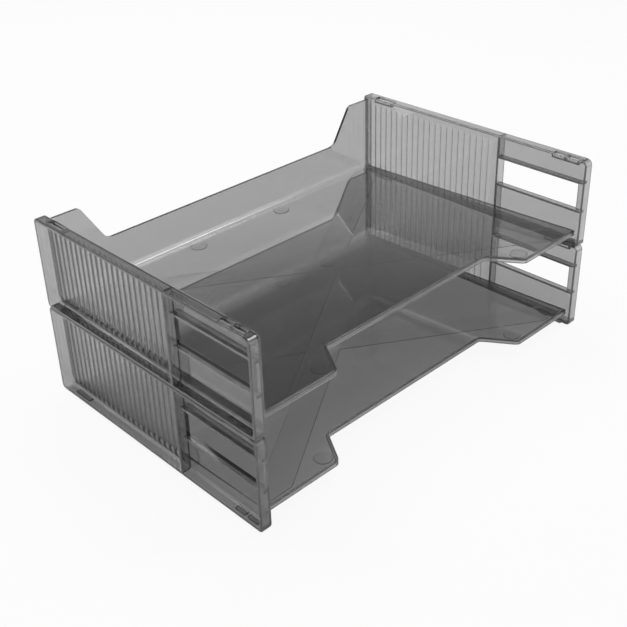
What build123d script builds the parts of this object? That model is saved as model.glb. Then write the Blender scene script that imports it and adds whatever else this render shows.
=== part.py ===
from build123d import *
from math import atan2, cos, degrees, hypot, sin
import os

# Two identical wide-entry letter trays of clear smoke plastic, one locked on top of the other.
# Each tray is three mouldings: a base with its back wall, and two framed side panels that
# the base's edges seat in. X runs across the entry, Y from the front to the rear, Z up.
# The origin is on the surface that the stack stands on, under the middle of the trays.

# One tray over all
tray_width = 350.0  # over the two side frames
tray_depth = 232.0  # side frame, front edge to rear edge
tier_height = 73.0  # side frame, bottom edge to rim

# Side frame: a web on the inner side, with flanges that stand outwards from it
frame_depth = 9.5
web = 2.2
flange = 2.2
front_top_corner = 5.0
rear_top_corner = 3.0
rear_foot_corner = 3.9
front_foot_corner = 2.5
inner_round = 2.0  # where the web meets the flanges, on the inner side
foot_cove = 1.8  # where the web meets the foot flange, on the outer side
rim_edge = 0.5
field_corner = 2.4

# Window in the front of the web, between two ledges, which end at the divider
window_front = 4.7  # from the front edge
window_length = 76.3
window_sill = 31.5
window_height = 22.7
ledge = 1.9
ledge_reach = 3.3
divider = 2.0

# Upright flutes sunk in the outer face of the web behind the divider: a flank round the edge,
# a gentler slope and a flat bed
flute_width = 5.2
flute_pitch = 6.27
flank_depth = 0.23
flank_width = 0.8
slope_depth = 0.14
slope_width = 1.0
flute_corner = 1.7
flute_margin = 4.3  # from the divider to the first flute, and least space behind the last
flute_foot = 0.2  # from the cove to the flutes
flute_head = 2.7  # from the flutes to the rim

# Stacking pockets in the rim, and the tongues under the foot that drop into them
pocket_width = 5.3
pocket_depth = 3.2
pocket_wall = 1.1
pocket_floor = 1.0
front_pocket_inset = 8.0  # from the front edge
front_pocket_length = 22.4
front_pocket_bridge = 2.2
rear_pocket_inset = 14.2  # from the rear edge
rear_pocket_length = 18.0
tongue_drop = 1.9
tongue_tip = 0.5
stack_clearance = 0.3
tier_gap = 0.1  # between a rim and the foot that stands on it

# Base: a floor that falls to the rear, a lip under its front edge, and the back wall
front_setback = 3.8
back_setback = 3.8
floor_front_height = 14.4
floor_rear_height = 6.6
base_thickness = 2.2  # floor, bend and back wall
bend_radius = 4.0  # inside the bend from the floor to the back wall
lip_height = 4.1
lip_thickness = 2.0
seat_depth = 0.8
seat_clearance = 0.1

# Finger cut-out in the front edge of the floor
cutout_depth = 26.4
cutout_mouth = 202.0
cutout_throat = 170.0
mouth_radius = 5.0
throat_radius = 5.0

# Back wall outline: high at both ends, low in the middle
wall_end_gap = 2.7  # from the rim down to the top of the wall's ends
wall_low_height = 38.3
wall_end_length = 24.5  # from the side frame to the start of the slope
wall_slope_length = 20.0
crest_radius = 4.0
dip_radius = 9.0

# Moulding marks under the floor: flow leaders, the gate and ejector pads
leader_width = 21.5
leader_thickness = 0.3
gate_diameter = 10.0
gate_height = 0.9
pad_diameter = 13.0
pad_height = 0.5
rear_pad_spacing = 90.0
rear_pad_inset = 11.0  # from the back wall
front_pad_spacing = 212.0
front_pad_inset = 10.2  # from the floor's front edge

# Places that follow from those sizes
front_y = -tray_depth / 2
rear_y = tray_depth / 2
inner_x = tray_width / 2 - frame_depth
web_x = inner_x + web
recess_depth = frame_depth - web
recess_top = tier_height - flange
divider_y = front_y + window_front + window_length
frame_corners = [
    ((front_y, tier_height), front_top_corner),
    ((rear_y, tier_height), rear_top_corner),
    ((rear_y, 0), rear_foot_corner),
    ((front_y, 0), front_foot_corner),
]

flute_bottom = flange + foot_cove + flute_foot
flute_length = recess_top - flute_head - flute_bottom
first_flute = divider_y + divider + flute_margin + flute_width / 2
last_flute = rear_y - flange - flute_margin - flute_width / 2
flute_count = int((last_flute - first_flute) / flute_pitch) + 1

pocket_x = inner_x + pocket_wall
half_pocket = (front_pocket_length - front_pocket_bridge) / 2
pockets = [
    (front_y + front_pocket_inset + half_pocket / 2, half_pocket),
    (front_y + front_pocket_inset + front_pocket_length - half_pocket / 2, half_pocket),
    (rear_y - rear_pocket_inset - rear_pocket_length / 2, rear_pocket_length),
]

base_half_width = inner_x + seat_depth - seat_clearance
floor_front_y = front_y + front_setback
wall_rear_y = rear_y - back_setback
wall_front_y = wall_rear_y - base_thickness
floor_run = wall_front_y - floor_front_y
floor_fall = floor_front_height - floor_rear_height
floor_tilt = atan2(floor_fall, floor_run)
floor_length = hypot(floor_run, floor_fall)
wall_end_height = tier_height - wall_end_gap
crest_x = inner_x - wall_end_length
dip_x = crest_x - wall_slope_length

floor_plane = Plane(
    origin=(0, floor_front_y, floor_front_height),
    x_dir=(1, 0, 0),
    z_dir=(0, sin(floor_tilt), cos(floor_tilt)),
)
floor_underside = floor_plane.offset(-base_thickness)
front_edge = [
    (-base_half_width, 0),
    (-cutout_mouth / 2, 0),
    (-cutout_throat / 2, cutout_depth),
    (cutout_throat / 2, cutout_depth),
    (cutout_mouth / 2, 0),
    (base_half_width, 0),
]
front_radii = [mouth_radius, throat_radius, throat_radius, mouth_radius]


# Point of the base's end outline: a distance back along the floor and one above its top face
def on_floor(run, rise):
    along = floor_front_y + run * cos(floor_tilt) + rise * sin(floor_tilt)
    height = floor_front_height - run * sin(floor_tilt) + rise * cos(floor_tilt)
    return (along, height)


# Section of the floor and back wall: one thickness all the way, round the bend too
with BuildSketch(Plane.YZ) as base_section:
    with BuildLine():
        FilletPolyline(
            (floor_front_y, floor_front_height),
            (wall_front_y, floor_rear_height),
            (wall_front_y, wall_end_height),
            radius=bend_radius,
        )
        offset(amount=base_thickness, side=Side.RIGHT)
    make_face()

# Hollow of one flute, in two steps, with the web's outer face at X zero and its foot at height zero
with BuildPart() as flute_edge:
    with BuildSketch(Plane.YZ.offset(flank_depth)) as flute_outline:
        Rectangle(flute_width, flute_length, align=(Align.CENTER, Align.MIN))
        chamfer(flute_outline.vertices(), length=flute_corner)
    extrude(amount=-2 * flank_depth)
    flank_foot = flute_edge.faces().sort_by(Axis.X)[0]
    chamfer(flank_foot.edges(), length=flank_width, length2=flank_depth, reference=flank_foot)
with BuildPart() as flute_bed:
    with BuildSketch(Plane.YZ):
        add(flute_outline.sketch_local)
        offset(amount=-flank_width, kind=Kind.INTERSECTION)
    extrude(amount=-flank_depth - slope_depth)
    slope_foot = flute_bed.faces().sort_by(Axis.X)[0]
    chamfer(slope_foot.edges(), length=slope_width, length2=slope_depth, reference=slope_foot)

# Right-hand side frame, with its bottom edge at height zero
with BuildPart() as right_side:
    # Full block, rounded at its corners and along its inner edges
    with BuildSketch(Plane.YZ.offset(inner_x)) as frame_outline:
        Rectangle(tray_depth, tier_height, align=(Align.CENTER, Align.MIN))
        for corner, corner_radius in frame_corners:
            fillet(frame_outline.vertices().sort_by_distance(corner)[0], radius=corner_radius)
    extrude(amount=frame_depth)
    fillet(right_side.faces().sort_by(Axis.X)[0].edges(), radius=inner_round)
    chamfer(right_side.faces().sort_by(Axis.X)[-1].edges(), length=rim_edge)

    # Field sunk from the outside, which leaves the web and the four flanges
    with BuildSketch(Plane.YZ.offset(web_x)) as field:
        with Locations((0, flange)):
            Rectangle(tray_depth - 2 * flange, recess_top - flange, align=(Align.CENTER, Align.MIN))
        fillet(field.vertices(), radius=field_corner)
    extrude(amount=recess_depth, mode=Mode.SUBTRACT)

    # Cove along the foot, from the front flange to the rear one
    with BuildSketch(Plane.XZ.offset(flange - rear_y)):
        with Locations((web_x, flange)):
            Rectangle(foot_cove, foot_cove, align=(Align.MIN, Align.MIN))
        with Locations((web_x + foot_cove, flange + foot_cove)):
            Circle(foot_cove, mode=Mode.SUBTRACT)
    extrude(amount=tray_depth - 2 * flange)

    # Divider between the window and the flutes, out to the flanges' edges
    with BuildSketch(Plane.YZ.offset(web_x)):
        with Locations((divider_y, flange)):
            Rectangle(divider, recess_top - flange, align=(Align.MIN, Align.MIN))
    extrude(amount=recess_depth)

    # Ledges over and under the window, from the front flange to the divider, then the window
    with BuildSketch(Plane.YZ.offset(web_x)):
        for ledge_z in (window_sill - ledge, window_sill + window_height):
            with Locations((front_y + flange, ledge_z)):
                Rectangle(divider_y - front_y - flange, ledge, align=(Align.MIN, Align.MIN))
    extrude(amount=ledge_reach)
    with BuildSketch(Plane.YZ.offset(inner_x)):
        with Locations((divider_y, window_sill)):
            Rectangle(window_length, window_height, align=(Align.MAX, Align.MIN))
    extrude(amount=web, mode=Mode.SUBTRACT)

    # Flutes, one pitch apart from the divider to the rear
    with Locations((web_x, first_flute, flute_bottom)):
        with GridLocations(0, flute_pitch, 1, flute_count, align=(Align.CENTER, Align.MIN)):
            add([flute_edge.part, flute_bed.part], mode=Mode.SUBTRACT)

    # Boxes under the rim, and the pockets sunk in them from above
    with BuildSketch(Plane.XY.offset(tier_height - pocket_depth - pocket_floor)):
        for pocket_y, pocket_length in pockets:
            with Locations((web_x, pocket_y)):
                Rectangle(
                    pocket_x + pocket_width + pocket_wall - web_x,
                    pocket_length + 2 * pocket_wall,
                    align=(Align.MIN, Align.CENTER),
                )
    extrude(amount=pocket_depth + pocket_floor - flange)
    with BuildSketch(Plane.XY.offset(tier_height)):
        for pocket_y, pocket_length in pockets:
            with Locations((pocket_x, pocket_y)):
                Rectangle(pocket_width, pocket_length, align=(Align.MIN, Align.CENTER))
    extrude(amount=-pocket_depth, mode=Mode.SUBTRACT)

    # Tongues under the foot, in line with the pockets and smaller by the clearance
    with BuildSketch(Plane.XY.offset(inner_round)):
        for pocket_y, pocket_length in pockets:
            with Locations((pocket_x + pocket_width / 2, pocket_y)):
                Rectangle(pocket_width - 2 * stack_clearance, pocket_length - 2 * stack_clearance)
    extrude(amount=-tongue_drop - inner_round)
    tongue_tips = right_side.faces().group_by(Axis.Z)[0]
    chamfer(tongue_tips.edges(), length=tongue_tip)

    # Seat in the web for the base's end: its outline grown by the clearance
    with BuildSketch(Plane.YZ.offset(inner_x)):
        add(base_section.sketch_local)
        with BuildLine():
            Polyline(
                on_floor(0, 0),
                on_floor(lip_thickness, 0),
                on_floor(lip_thickness, -lip_height),
                on_floor(0, -lip_height),
                close=True,
            )
        make_face()
        offset(amount=seat_clearance, kind=Kind.INTERSECTION)
    extrude(amount=seat_depth, mode=Mode.SUBTRACT)

with BuildPart() as left_side:
    mirror(right_side.part, about=Plane.YZ)

# Floor and back wall in one moulding
with BuildPart() as base:
    # The section, run from one side frame to the other
    extrude(base_section.sketch, amount=base_half_width, both=True)

    # Back wall cut low in the middle
    with BuildSketch(Plane.XZ.offset(-wall_rear_y)):
        with BuildLine():
            wall_top = FilletPolyline(
                (-base_half_width, wall_end_height),
                (-crest_x, wall_end_height),
                (-dip_x, wall_low_height),
                (dip_x, wall_low_height),
                (crest_x, wall_end_height),
                (base_half_width, wall_end_height),
                radius=[crest_radius, dip_radius, dip_radius, crest_radius],
            )
            Polyline(
                wall_top @ 1,
                (base_half_width, tier_height),
                (-base_half_width, tier_height),
                wall_top @ 0,
            )
        make_face()
    extrude(amount=base_thickness, mode=Mode.SUBTRACT)

    # Finger cut-out in the floor, then the lip turned down along the whole front edge
    with BuildSketch(floor_plane):
        with BuildLine():
            edge_line = FilletPolyline(*front_edge, radius=front_radii)
            Polyline(
                edge_line @ 1,
                (base_half_width, -front_setback),
                (-base_half_width, -front_setback),
                edge_line @ 0,
            )
        make_face()
    extrude(amount=-base_thickness, mode=Mode.SUBTRACT)
    with BuildSketch(floor_plane):
        with BuildLine():
            FilletPolyline(*front_edge, radius=front_radii)
            offset(amount=lip_thickness, side=Side.LEFT)
        make_face()
    extrude(amount=-lip_height)

    # Flow leaders from the middle of the floor to its four corners
    leader_turn = degrees(atan2(floor_length, 2 * base_half_width))
    leader_length = hypot(floor_length, 2 * base_half_width)
    with BuildSketch(floor_underside):
        with Locations((0, floor_length / 2)):
            Rectangle(leader_length, leader_width, rotation=leader_turn)
            Rectangle(leader_length, leader_width, rotation=-leader_turn)
            Rectangle(2 * inner_x, floor_length - 2 * bend_radius, mode=Mode.INTERSECT)
    extrude(amount=-leader_thickness)

    # Gate in the middle and four ejector pads
    with BuildSketch(floor_underside):
        with Locations((0, floor_length / 2)):
            Circle(gate_diameter / 2)
    extrude(amount=-gate_height)
    with BuildSketch(floor_underside):
        with Locations((0, floor_length - rear_pad_inset)):
            with GridLocations(rear_pad_spacing, 0, 2, 1):
                Circle(pad_diameter / 2)
        with Locations((0, front_pad_inset)):
            with GridLocations(front_pad_spacing, 0, 2, 1):
                Circle(pad_diameter / 2)
    extrude(amount=-pad_height)

# The same three mouldings make both trays, one tier apart
tiers = {"lower": tongue_drop, "upper": tongue_drop + tier_height + tier_gap}
mouldings = {"base": base.part, "left_side": left_side.part, "right_side": right_side.part}
os.makedirs("parts", exist_ok=True)
for tier, tier_z in tiers.items():
    for moulding, shape in mouldings.items():
        with BuildPart() as piece:
            with Locations((0, 0, tier_z)):
                add(shape)
        piece.part.label = f"{tier}_{moulding}"
        export_step(piece.part, f"parts/{tier}_{moulding}.step")
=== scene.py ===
import math

import bpy
from mathutils import Matrix, Vector


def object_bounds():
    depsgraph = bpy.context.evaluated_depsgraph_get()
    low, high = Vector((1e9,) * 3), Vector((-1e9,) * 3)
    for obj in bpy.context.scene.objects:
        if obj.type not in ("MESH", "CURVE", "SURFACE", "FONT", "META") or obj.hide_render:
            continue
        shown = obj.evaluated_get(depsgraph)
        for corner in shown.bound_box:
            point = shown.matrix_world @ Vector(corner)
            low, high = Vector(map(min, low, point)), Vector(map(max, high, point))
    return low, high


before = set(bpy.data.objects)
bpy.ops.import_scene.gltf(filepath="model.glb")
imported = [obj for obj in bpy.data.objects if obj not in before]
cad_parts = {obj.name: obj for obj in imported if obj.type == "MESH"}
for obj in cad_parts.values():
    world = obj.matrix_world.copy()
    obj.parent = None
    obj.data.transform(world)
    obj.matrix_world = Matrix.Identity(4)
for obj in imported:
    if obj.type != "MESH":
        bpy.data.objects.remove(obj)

cadLow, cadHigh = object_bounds()  # the CAD box, in metres
millimetre = 0.001
print("frame loaded:", ", ".join(sorted(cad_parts)))


def hexToLinear(code):
    # sRGB hex to the linear colour that a socket takes
    channels = [int(code[i:i + 2], 16) / 255 for i in (1, 3, 5)]
    linear = [c / 12.92 if c <= 0.04045 else ((c + 0.055) / 1.055) ** 2.4 for c in channels]
    return (*linear, 1.0)


def addNode(tree, kind, settings, links):
    # one node with its settings; a setting is a property of the node or a value on a socket
    node = tree.nodes.new(kind)
    for name, value in settings.items():
        if isinstance(name, int) or name in node.inputs:
            node.inputs[name].default_value = value
        else:
            setattr(node, name, value)
    for name, source in links.items():
        tree.links.new(source, node.inputs[name])
    return node


# Smoke polystyrene, moulded in a polished tool: clear, glossy, neutral grey.
# It darkens with the way that light goes through it, so faces are pale and edges near black.
smokePolystyrene = {
    "name": "smokePolystyreneMoulded",
    "tint": "#ffffff",
    "absorbed": "#000000",
    "absorptionPerMetre": 240.0,
    "ior": 1.59,
    "clear": 1.0,
    "roughnessLow": 0.012,
    "roughnessHigh": 0.05,
    "handlingMarkMm": 38.0,  # size of the patches that handling has dulled
    "handlingMarkDetail": 4.0,
    "handlingMarkGrain": 0.6,
    "handlingMarkFade": (0.4, 0.7),  # noise at which a patch starts, and at which it is full
    "flowRippleMm": 14.0,  # ripples that the melt leaves as it sets
    "flowRippleDetail": 1.0,
    "flowRippleBend": 0.4,
    "flowRippleStrength": 0.05,
    "flowRippleHeightMm": 0.05,
    "edgeRoundMm": 0.8,  # how far the moulded edges and the flutes are softened
    "edgeRoundSamples": 6,
    "skin": 1.0,  # the polished skin, which mirrors the white table
    "skinIor": 1.8,
    "skinRoughness": 0.02,
}

# Flutes of the side frames: the solids have them, and this rounds and deepens their hollows
flutes = {
    "firstMm": -26.1,  # middle of the flute next to the divider, along Y
    "pitchMm": 6.27,
    "count": 22,
    "footMm": 6.1,  # heights of the lower and upper ends
    "headMm": 70.0,
    "endRoundMm": 1.1,
    "tierMm": 73.1,  # from one tray to the next
    "faceMm": 167.5,  # outer face of the web, from the middle of the tray
    "faceReachMm": 0.6,  # how far from that face a point may lie
    "depthMm": 0.7,
}
waveTurn = 20.0  # radians of the wave texture for each unit of its scale


def fluteHollow(tree, place, row):
    # 1 along the middle of each flute, 0 at the crests between them and past their ends
    inMm = addNode(
        tree, "ShaderNodeVectorMath", {"operation": "SCALE", "Scale": 1 / millimetre},
        {"Vector": place.outputs["Object"]},
    )
    where = addNode(tree, "ShaderNodeSeparateXYZ", {}, {"Vector": inMm.outputs["Vector"]})
    waves = addNode(
        tree, "ShaderNodeTexWave",
        {"bands_direction": "Y", "Scale": math.pi / row["pitchMm"] / waveTurn,
         "Phase Offset": -math.pi * row["firstMm"] / row["pitchMm"]},
        {"Vector": inMm.outputs["Vector"]},
    )
    swing = addNode(
        tree, "ShaderNodeMapRange", {"To Min": 1.0, "To Max": -1.0},
        {"Value": waves.outputs["Fac"]},
    )
    bowl = addNode(
        tree, "ShaderNodeMath", {"operation": "ABSOLUTE"}, {0: swing.outputs["Result"]}
    )
    # the rounded ends, at the same heights in both trays
    halfHeight = (row["headMm"] - row["footMm"]) / 2
    height = addNode(
        tree, "ShaderNodeMath", {"operation": "MODULO", 1: row["tierMm"]},
        {0: where.outputs["Z"]},
    )
    above = addNode(
        tree, "ShaderNodeMath", {"operation": "SUBTRACT", 1: row["footMm"] + halfHeight},
        {0: height.outputs[0]},
    )
    away = addNode(tree, "ShaderNodeMath", {"operation": "ABSOLUTE"}, {0: above.outputs[0]})
    ends = addNode(
        tree, "ShaderNodeMapRange",
        {"From Min": halfHeight - row["endRoundMm"], "From Max": halfHeight,
         "To Min": 1.0, "To Max": 0.0},
        {"Value": away.outputs[0]},
    )
    # only from the first flute to the last, and only on the outer face of the web
    length = row["count"] * row["pitchMm"]
    middle = row["firstMm"] + (length - row["pitchMm"]) / 2
    inRow = addNode(
        tree, "ShaderNodeMath", {"operation": "COMPARE", 1: middle, 2: length / 2},
        {0: where.outputs["Y"]},
    )
    reach = addNode(tree, "ShaderNodeMath", {"operation": "ABSOLUTE"}, {0: where.outputs["X"]})
    onFace = addNode(
        tree, "ShaderNodeMath",
        {"operation": "COMPARE", 1: row["faceMm"], 2: row["faceReachMm"]},
        {0: reach.outputs[0]},
    )
    hollow = bowl.outputs[0]
    for limit in (ends.outputs["Result"], inRow.outputs[0], onFace.outputs[0]):
        step = addNode(tree, "ShaderNodeMath", {"operation": "MULTIPLY"}, {0: hollow, 1: limit})
        hollow = step.outputs[0]
    return hollow


def makeSmokePolystyrene(look):
    material = bpy.data.materials.new(look["name"])
    material.use_nodes = True
    tree = material.node_tree
    tree.nodes.clear()
    place = addNode(tree, "ShaderNodeTexCoord", {}, {})
    marks = addNode(
        tree, "ShaderNodeTexNoise",
        {"Scale": 1 / (look["handlingMarkMm"] * millimetre),
         "Detail": look["handlingMarkDetail"], "Roughness": look["handlingMarkGrain"]},
        {"Vector": place.outputs["Object"]},
    )
    fadeStart, fadeFull = look["handlingMarkFade"]
    roughness = addNode(
        tree, "ShaderNodeMapRange",
        {"From Min": fadeStart, "From Max": fadeFull,
         "To Min": look["roughnessLow"], "To Max": look["roughnessHigh"]},
        {"Value": marks.outputs["Fac"]},
    )
    ripples = addNode(
        tree, "ShaderNodeTexNoise",
        {"Scale": 1 / (look["flowRippleMm"] * millimetre),
         "Detail": look["flowRippleDetail"], "Distortion": look["flowRippleBend"]},
        {"Vector": place.outputs["Object"]},
    )
    rounded = addNode(
        tree, "ShaderNodeBevel",
        {"samples": look["edgeRoundSamples"], "Radius": look["edgeRoundMm"] * millimetre}, {},
    )
    # light that leaves the plastic through a flute follows the solid alone
    shape = addNode(tree, "ShaderNodeNewGeometry", {}, {})
    entering = addNode(
        tree, "ShaderNodeMath", {"operation": "SUBTRACT", 0: 1.0},
        {1: shape.outputs["Backfacing"]},
    )
    fluted = addNode(
        tree, "ShaderNodeBump", {"invert": True, "Distance": flutes["depthMm"] * millimetre},
        {"Height": fluteHollow(tree, place, flutes), "Strength": entering.outputs[0],
         "Normal": rounded.outputs["Normal"]},
    )
    rippled = addNode(
        tree, "ShaderNodeBump",
        {"Strength": look["flowRippleStrength"],
         "Distance": look["flowRippleHeightMm"] * millimetre},
        {"Height": ripples.outputs["Fac"], "Normal": fluted.outputs["Normal"]},
    )
    surface = addNode(
        tree, "ShaderNodeBsdfPrincipled",
        {"Base Color": hexToLinear(look["tint"]), "IOR": look["ior"],
         "Transmission Weight": look["clear"], "Coat Weight": look["skin"],
         "Coat IOR": look["skinIor"], "Coat Roughness": look["skinRoughness"]},
        {"Roughness": roughness.outputs["Result"], "Normal": rippled.outputs["Normal"]},
    )
    inside = addNode(
        tree, "ShaderNodeVolumeAbsorption",
        {"Color": hexToLinear(look["absorbed"]), "Density": look["absorptionPerMetre"]}, {},
    )
    addNode(
        tree, "ShaderNodeOutputMaterial", {},
        {"Surface": surface.outputs["BSDF"], "Volume": inside.outputs["Volume"]},
    )
    return material


smoke = makeSmokePolystyrene(smokePolystyrene)
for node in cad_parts.values():
    node.data.materials.clear()
    node.data.materials.append(smoke)
print("smoke polystyrene on", len(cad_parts), "pieces")


# Stage: matte white paper, which scatters evenly and takes only soft shade,
# under a studio that is white at the horizon and darker higher up
stage = {
    "floorSize": 30.0,  # metres, wide enough for its far edge to pass for a horizon
    "floorDrop": 0.0005,
    "floorColour": "#fafafa",
    "white": "#ffffff",
    "seenWhite": {  # share of plain white in the paper, for each way of seeing it
        "direct": 0.92,
        "reflected": 0.15,
        "throughOne": 0.25,
        "throughMore": 0.0,
        "oneLayer": 2.0,  # surfaces that a ray goes through in one layer of plastic
    },
    "horizon": 1.0,
    "overhead": 0.2,
    "whiteUpTo": 0.20,  # sine of the height at which the white starts to fade
    "darkFrom": 0.50,
}
softboxes = [  # each is aimed at the origin, from a direction and a distance
    {"name": "overheadSoftbox", "from": (0.0, 0.5, 1.0), "distance": 1.5,
     "width": 1.3, "height": 1.3, "brightness": 2.1},
    {"name": "frontRightStrip", "from": (0.39, -0.32, 0.86), "distance": 1.47,
     "width": 0.35, "height": 1.0, "brightness": 3.2},
]


def whiteShare(tree, seen):
    # a ray through clear plastic counts as glossy too, so its share replaces the glossy one
    rays = addNode(tree, "ShaderNodeLightPath", {}, {})
    glossy = addNode(
        tree, "ShaderNodeMix", {"B": seen["reflected"]},
        {"Factor": rays.outputs["Is Glossy Ray"]},
    )
    deeper = addNode(
        tree, "ShaderNodeMath", {"operation": "GREATER_THAN", 1: seen["oneLayer"]},
        {0: rays.outputs["Transmission Depth"]},
    )
    layers = addNode(
        tree, "ShaderNodeMix", {"A": seen["throughOne"], "B": seen["throughMore"]},
        {"Factor": deeper.outputs[0]},
    )
    through = addNode(
        tree, "ShaderNodeMix", {},
        {"Factor": rays.outputs["Is Transmission Ray"], "A": glossy.outputs["Result"],
         "B": layers.outputs["Result"]},
    )
    direct = addNode(
        tree, "ShaderNodeMix", {"B": seen["direct"]},
        {"Factor": rays.outputs["Is Camera Ray"], "A": through.outputs["Result"]},
    )
    return direct.outputs["Result"]


def makeFloor(settings):
    bpy.ops.object.select_all(action="DESELECT")
    bpy.ops.mesh.primitive_plane_add(
        size=settings["floorSize"], location=(0, 0, cadLow.z - settings["floorDrop"])
    )
    floor = bpy.context.object
    floor.name = "studioFloor"
    material = bpy.data.materials.new("matteWhitePaper")
    material.use_nodes = True
    tree = material.node_tree
    tree.nodes.clear()
    share = whiteShare(tree, settings["seenWhite"])
    paper = addNode(
        tree, "ShaderNodeBsdfDiffuse", {"Color": hexToLinear(settings["floorColour"])}, {}
    )
    white = addNode(
        tree, "ShaderNodeEmission",
        {"Color": hexToLinear(settings["white"]), "Strength": settings["horizon"]}, {},
    )
    mix = addNode(
        tree, "ShaderNodeMixShader", {},
        {0: share, 1: paper.outputs["BSDF"], 2: white.outputs["Emission"]},
    )
    addNode(tree, "ShaderNodeOutputMaterial", {}, {"Surface": mix.outputs[0]})
    floor.data.materials.append(material)


def makeWorld(settings):
    world = bpy.data.worlds.new("whiteStudio")
    world.use_nodes = True
    tree = world.node_tree
    tree.nodes.clear()
    place = addNode(tree, "ShaderNodeTexCoord", {}, {})
    split = addNode(tree, "ShaderNodeSeparateXYZ", {}, {"Vector": place.outputs["Generated"]})
    fade = addNode(
        tree, "ShaderNodeMapRange",
        {"interpolation_type": "SMOOTHSTEP",
         "From Min": settings["whiteUpTo"], "From Max": settings["darkFrom"],
         "To Min": settings["horizon"], "To Max": settings["overhead"]},
        {"Value": split.outputs["Z"]},
    )
    rays = addNode(tree, "ShaderNodeLightPath", {}, {})
    strength = addNode(
        tree, "ShaderNodeMath", {"operation": "MAXIMUM"},
        {0: fade.outputs["Result"], 1: rays.outputs["Is Camera Ray"]},
    )
    sky = addNode(
        tree, "ShaderNodeBackground", {"Color": hexToLinear(settings["white"])},
        {"Strength": strength.outputs[0]},
    )
    addNode(tree, "ShaderNodeOutputWorld", {}, {"Surface": sky.outputs["Background"]})
    bpy.context.scene.world = world


def makeSoftbox(settings):
    lamp = bpy.data.lights.new(settings["name"], "AREA")
    lamp.shape = "RECTANGLE"
    lamp.size, lamp.size_y = settings["width"], settings["height"]
    # watts go with the area, so that a softbox of another size is as bright
    lamp.energy = settings["brightness"] * math.pi * settings["width"] * settings["height"]
    softbox = bpy.data.objects.new(settings["name"], lamp)
    bpy.context.collection.objects.link(softbox)
    aim = Vector(settings["from"]).normalized()
    softbox.location = aim * settings["distance"]
    softbox.rotation_euler = aim.to_track_quat("Z", "Y").to_euler()


makeFloor(stage)
makeWorld(stage)
for softbox in softboxes:
    makeSoftbox(softbox)
print("stage set")


# Camera: where the photograph was taken from, in metres and degrees, the lens in millimetres
photoCamera = {
    "target": (-0.04146, -0.01760, 0.09164),
    "distance": 0.7522,
    "azimuth": -42.815,
    "elevation": 29.690,
    "roll": -2.043,
    "lens": 59.28,
    "shift": (0.0180, -0.0495),
}


def makeCamera(settings):
    turn = math.radians(settings["azimuth"])
    rise = math.radians(settings["elevation"])
    roll = math.radians(settings["roll"])
    back = Vector((
        math.sin(turn) * math.cos(rise), -math.cos(turn) * math.cos(rise), math.sin(rise)
    ))
    level = Vector((0, 0, 1)).cross(back).normalized()
    upright = back.cross(level)
    right = math.cos(roll) * level + math.sin(roll) * upright
    up = -math.sin(roll) * level + math.cos(roll) * upright
    bpy.ops.object.camera_add()
    camera = bpy.context.object
    camera.name = "photoCamera"
    axes = Matrix((right, up, back)).transposed().to_4x4()
    spot = Vector(settings["target"]) + settings["distance"] * back
    camera.matrix_world = Matrix.Translation(spot) @ axes
    camera.data.lens = settings["lens"]
    camera.data.shift_x, camera.data.shift_y = settings["shift"]
    bpy.context.scene.camera = camera


makeCamera(photoCamera)
bpy.context.scene.view_settings.view_transform = "Standard"
print("camera set")
